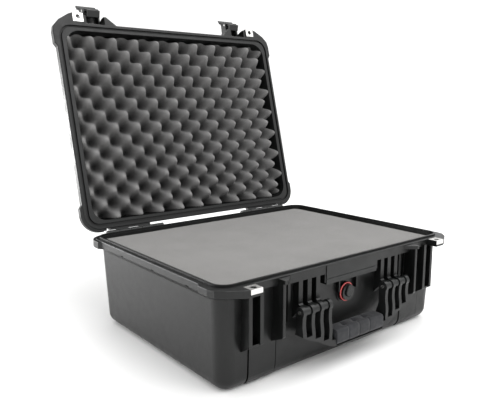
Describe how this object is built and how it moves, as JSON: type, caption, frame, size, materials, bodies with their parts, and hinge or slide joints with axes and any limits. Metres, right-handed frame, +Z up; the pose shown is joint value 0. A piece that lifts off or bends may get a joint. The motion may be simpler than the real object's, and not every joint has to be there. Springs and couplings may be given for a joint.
{
  "type": "hard equipment case",
  "caption": "Watertight moulded carrying case, shown open, with foam inserts, draw latches, a folding front handle, a pressure valve and padlock eyes.",
  "frame": {"origin": "centre of the base's footprint on the floor", "axes": "+X to the case's right seen from the front, the front with the handle is -Y, +Z up"},
  "size_m": [0.5146, 0.5743, 0.5742],
  "materials": {
    "shell_plastic": "textured moulded resin",
    "hardware_plastic": "smooth satin moulding",
    "valve_plastic": "satin moulding",
    "grip_rubber": "soft moulded rubber",
    "gasket": "matte",
    "seal_red": "matte",
    "foam_grey": "open-cell foam",
    "foam_dark": "open-cell egg-crate foam",
    "stainless": "brushed stainless steel",
    "steel_pin": "plain steel rod"
  },
  "bodies": {
    "base": {"base_shell": "shell_plastic", "foam_base_pad": "foam_grey", "foam_pick_lower": "foam_grey", "foam_pick_upper": "foam_grey", "valve_body": "valve_plastic", "valve_nut": "valve_plastic", "valve_seal": "seal_red", "hinge_pin_left": "steel_pin", "hinge_pin_right": "steel_pin", "handle_pin_left": "steel_pin", "handle_pin_right": "steel_pin", "base_lock_plate_left": "stainless", "base_lock_plate_right": "stainless"},
    "lid": {"lid_shell": "shell_plastic", "lid_gasket": "gasket", "foam_lid": "foam_dark", "lid_lock_plate_left": "stainless", "lid_lock_plate_right": "stainless", "latch_lever_pin_left": "steel_pin", "latch_lever_pin_right": "steel_pin"},
    "handle": {"handle_frame": "hardware_plastic", "handle_grip": "grip_rubber"},
    "valve_knob": {"valve_knob": "valve_plastic"},
    "latch_lever_left": {"latch_lever_left": "hardware_plastic", "latch_hook_pin_left": "steel_pin"},
    "latch_hook_left": {"latch_hook_left": "hardware_plastic"},
    "latch_lever_right": {"latch_lever_right": "hardware_plastic", "latch_hook_pin_right": "steel_pin"},
    "latch_hook_right": {"latch_hook_right": "hardware_plastic"}
  },
  "joints": [
    {"name": "lid_hinge", "type": "hinge", "parent": "base", "child": "lid", "pos_m": [0, 0.2042, 0.152], "axis": [1, 0, 0], "range_deg": [0, 104.5]},
    {"name": "handle_swing", "type": "hinge", "parent": "base", "child": "handle", "pos_m": [0, -0.2055, 0.1], "axis": [-1, 0, 0], "range_deg": [0, 90]},
    {"name": "valve_turn", "type": "hinge", "parent": "base", "child": "valve_knob", "pos_m": [-0.004, -0.19, 0.1015], "axis": [0, -1, 0], "range_deg": [0, 270]},
    {"name": "latch_lever_left", "type": "hinge", "parent": "lid", "child": "latch_lever_left", "pos_m": [-0.1685, 0.33398, 0.538], "axis": [1, 0, 0], "range_deg": [0, 90]},
    {"name": "latch_hook_left", "type": "hinge", "parent": "latch_lever_left", "child": "latch_hook_left", "pos_m": [-0.17, 0.33782, 0.56283], "axis": [-1, 0, 0], "range_deg": [0, 115]},
    {"name": "latch_lever_right", "type": "hinge", "parent": "lid", "child": "latch_lever_right", "pos_m": [0.1685, 0.33398, 0.538], "axis": [1, 0, 0], "range_deg": [0, 90]},
    {"name": "latch_hook_right", "type": "hinge", "parent": "latch_lever_right", "child": "latch_hook_right", "pos_m": [0.17, 0.33782, 0.56283], "axis": [-1, 0, 0], "range_deg": [0, 115]}
  ],
  "couplings": [
    {"joint": "latch_hook_left", "follows": "latch_lever_left", "ratio": 1.2778},
    {"joint": "latch_hook_right", "follows": "latch_lever_right", "ratio": 1.2778}
  ]
}
